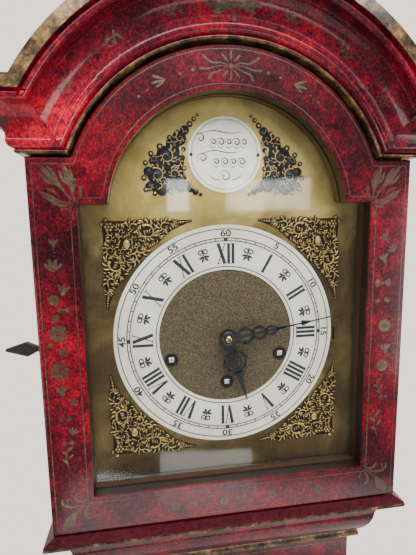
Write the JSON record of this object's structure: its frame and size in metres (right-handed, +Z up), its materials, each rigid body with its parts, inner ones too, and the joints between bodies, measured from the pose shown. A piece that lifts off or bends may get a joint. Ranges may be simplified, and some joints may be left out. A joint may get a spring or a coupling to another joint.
{
  "type": "grandfather clock",
  "caption": "Weight-driven longcase clock with a glazed break-arch hood, lacquered case, trunk door, three-weight chiming movement, long pendulum and silvered dial.",
  "frame": {"origin": "on the floor, midway across the clock's overall width and depth", "axes": "+X to the right as seen from the front, +Y to the back, +Z up"},
  "size_m": [0.438, 0.254, 1.8999],
  "materials": {
    "red_lacquer": "gloss lacquer",
    "dark_wood": "matt",
    "brass": "satin",
    "silvered": "satin",
    "steel": "satin",
    "black_steel": "gloss",
    "bronze": "satin",
    "glass": "clear"
  },
  "bodies": {
    "case": {"base_carcass": "red_lacquer", "base_panel": "red_lacquer", "plinth": "red_lacquer", "waist_moulding": "red_lacquer", "throat_moulding": "red_lacquer", "trunk_carcass": "red_lacquer", "backboard": "dark_wood", "seatboard": "dark_wood", "trunk_hinge_leaves": "brass", "dial_plate": "brass", "chapter_ring": "silvered", "dial_boss": "silvered", "dial_spandrels": "brass", "winding_collets": "steel", "movement_frame": "brass", "back_plate_brackets": "brass", "chime_rods": "steel", "strike_cable": "steel", "time_cable": "steel", "chime_cable": "steel"},
    "hood": {"hood_base": "red_lacquer", "hood_sides": "red_lacquer", "hood_mask": "dark_wood", "hood_cornice": "red_lacquer", "hood_roof": "dark_wood", "hood_hinge_leaves": "brass", "hood_lock": "steel"},
    "hood_door": {"hood_door_frame": "red_lacquer", "hood_door_glass": "glass", "hood_glazing_beads": "red_lacquer", "hood_door_hinge_leaves": "brass"},
    "hood_bolt": {"hood_lock_bolt": "steel"},
    "hood_key": {"hood_key": "bronze"},
    "trunk_door": {"trunk_door": "red_lacquer", "trunk_door_hinge_leaves": "brass", "trunk_lock": "steel"},
    "trunk_bolt": {"trunk_lock_bolt": "steel"},
    "minute_arbor": {"centre_arbor": "brass", "minute_hand": "black_steel"},
    "hour_pipe": {"hour_wheel": "brass", "hour_hand": "black_steel"},
    "minute_wheel": {"minute_wheel": "brass"},
    "great_wheel": {"great_wheel": "brass"},
    "third_wheel": {"third_wheel": "brass"},
    "escape_wheel": {"escape_wheel": "brass"},
    "anchor": {"pallet_anchor": "steel"},
    "pendulum": {"pendulum_rod": "steel", "pendulum_bob": "brass"},
    "rating_nut": {"rating_nut": "brass"},
    "hammers": {"chime_hammers": "steel"},
    "chime_lever": {"chime_silent_lever": "brass"},
    "strike_weight": {"strike_weight": "brass"},
    "strike_drum": {"strike_drum": "brass"},
    "strike_pulley": {"strike_pulley": "brass"},
    "time_weight": {"time_weight": "brass"},
    "time_drum": {"time_drum": "brass"},
    "time_pulley": {"time_pulley": "brass"},
    "chime_weight": {"chime_weight": "brass"},
    "chime_drum": {"chime_drum": "brass"},
    "chime_pulley": {"chime_pulley": "brass"}
  },
  "joints": [
    {"name": "hood_slide", "type": "slide", "parent": "case", "child": "hood", "axis": [0, -1, 0], "range_m": [0, 0.23]},
    {"name": "hood_door_swing", "type": "hinge", "parent": "hood", "child": "hood_door", "pos_m": [0.172, -0.08, 1.579], "axis": [0, 0, 1], "range_deg": [0, 100]},
    {"name": "hood_key_turn", "type": "hinge", "parent": "hood", "child": "hood_key", "pos_m": [-0.177, -0.0435, 1.575], "axis": [1, 0, 0], "range_deg": [0, 90]},
    {"name": "hood_bolt_slide", "type": "slide", "parent": "hood", "child": "hood_bolt", "axis": [0, -1, 0], "range_m": [0, 0.008]},
    {"name": "trunk_door_swing", "type": "hinge", "parent": "case", "child": "trunk_door", "pos_m": [0.1005, -0.0605, 0.93], "axis": [0, 0, 1], "range_deg": [0, 100]},
    {"name": "trunk_bolt_slide", "type": "slide", "parent": "trunk_door", "child": "trunk_bolt", "axis": [-1, 0, 0], "range_m": [0, 0.01]},
    {"name": "minute_hand_spin", "type": "hinge", "parent": "case", "child": "minute_arbor", "pos_m": [0, 0, 1.579], "axis": [0, 1, 0], "continuous": true},
    {"name": "hour_hand_spin", "type": "hinge", "parent": "case", "child": "hour_pipe", "pos_m": [0, 0, 1.579], "axis": [0, 1, 0], "continuous": true},
    {"name": "minute_wheel_spin", "type": "hinge", "parent": "case", "child": "minute_wheel", "pos_m": [-0.01273, 0, 1.56627], "axis": [0, 1, 0], "continuous": true},
    {"name": "great_wheel_spin", "type": "hinge", "parent": "case", "child": "great_wheel", "pos_m": [0, 0, 1.5293], "axis": [0, 1, 0], "continuous": true},
    {"name": "third_wheel_spin", "type": "hinge", "parent": "case", "child": "third_wheel", "pos_m": [-0.024, 0, 1.60017], "axis": [0, 1, 0], "continuous": true},
    {"name": "escape_wheel_spin", "type": "hinge", "parent": "case", "child": "escape_wheel", "pos_m": [0, 0, 1.6108], "axis": [0, 1, 0], "continuous": true},
    {"name": "pendulum_swing", "type": "hinge", "parent": "case", "child": "pendulum", "pos_m": [0, 0.05, 1.63342], "axis": [0, 1, 0], "range_deg": [-2.5, 2.5]},
    {"name": "anchor_rock", "type": "hinge", "parent": "case", "child": "anchor", "pos_m": [0, 0, 1.63342], "axis": [0, 1, 0], "range_deg": [-2.5, 2.5]},
    {"name": "rating_nut_turn", "type": "hinge", "parent": "pendulum", "child": "rating_nut", "pos_m": [0, 0.05, 0.74843], "axis": [0, 0, 1], "continuous": true},
    {"name": "hammer_lift", "type": "hinge", "parent": "case", "child": "hammers", "pos_m": [0.07, 0.069, 1.535], "axis": [1, 0, 0], "range_deg": [0, 12], "stiffness_Nm_per_rad": 0.02, "springref_deg": -5.73},
    {"name": "chime_lever_slide", "type": "slide", "parent": "case", "child": "chime_lever", "axis": [0, 0, -1], "range_m": [0, 0.021]},
    {"name": "strike_weight_lift", "type": "slide", "parent": "case", "child": "strike_weight", "axis": [0, 0, 1], "range_m": [0, 0.66], "deforming": ["strike_cable"]},
    {"name": "strike_drum_wind", "type": "hinge", "parent": "case", "child": "strike_drum", "pos_m": [-0.0578, 0, 1.5568], "axis": [0, 1, 0], "range_deg": [0, 3900]},
    {"name": "strike_pulley_roll", "type": "hinge", "parent": "strike_weight", "child": "strike_pulley", "pos_m": [-0.0578, 0.004, 0.748], "axis": [0, 1, 0], "range_deg": [0, 1950]},
    {"name": "time_weight_lift", "type": "slide", "parent": "case", "child": "time_weight", "axis": [0, 0, 1], "range_m": [0, 0.66], "deforming": ["time_cable"]},
    {"name": "time_drum_wind", "type": "hinge", "parent": "case", "child": "time_drum", "pos_m": [0, 0, 1.5293], "axis": [0, 1, 0], "range_deg": [0, 3900]},
    {"name": "time_pulley_roll", "type": "hinge", "parent": "time_weight", "child": "time_pulley", "pos_m": [0, 0.004, 0.748], "axis": [0, 1, 0], "range_deg": [0, 1950]},
    {"name": "chime_weight_lift", "type": "slide", "parent": "case", "child": "chime_weight", "axis": [0, 0, 1], "range_m": [0, 0.66], "deforming": ["chime_cable"]},
    {"name": "chime_drum_wind", "type": "hinge", "parent": "case", "child": "chime_drum", "pos_m": [0.0578, 0, 1.5568], "axis": [0, 1, 0], "range_deg": [0, 3900]},
    {"name": "chime_pulley_roll", "type": "hinge", "parent": "chime_weight", "child": "chime_pulley", "pos_m": [0.0578, 0.004, 0.748], "axis": [0, 1, 0], "range_deg": [0, 1950]}
  ],
  "couplings": [
    {"joint": "hood_key_turn", "follows": "hood_bolt_slide", "rad_per_m": 196.3},
    {"joint": "hour_hand_spin", "follows": "minute_hand_spin", "ratio": 0.083333},
    {"joint": "minute_wheel_spin", "follows": "minute_hand_spin", "ratio": -0.33333},
    {"joint": "great_wheel_spin", "follows": "minute_hand_spin", "ratio": -0.083333},
    {"joint": "third_wheel_spin", "follows": "minute_hand_spin", "ratio": -9},
    {"joint": "escape_wheel_spin", "follows": "minute_hand_spin", "ratio": 66},
    {"joint": "anchor_rock", "follows": "pendulum_swing", "ratio": 1},
    {"joint": "strike_drum_wind", "follows": "strike_weight_lift", "rad_per_m": 100},
    {"joint": "strike_pulley_roll", "follows": "strike_weight_lift", "rad_per_m": 50},
    {"joint": "time_drum_wind", "follows": "time_weight_lift", "rad_per_m": 100},
    {"joint": "time_pulley_roll", "follows": "time_weight_lift", "rad_per_m": 50},
    {"joint": "chime_drum_wind", "follows": "chime_weight_lift", "rad_per_m": 100},
    {"joint": "chime_pulley_roll", "follows": "chime_weight_lift", "rad_per_m": 50}
  ]
}
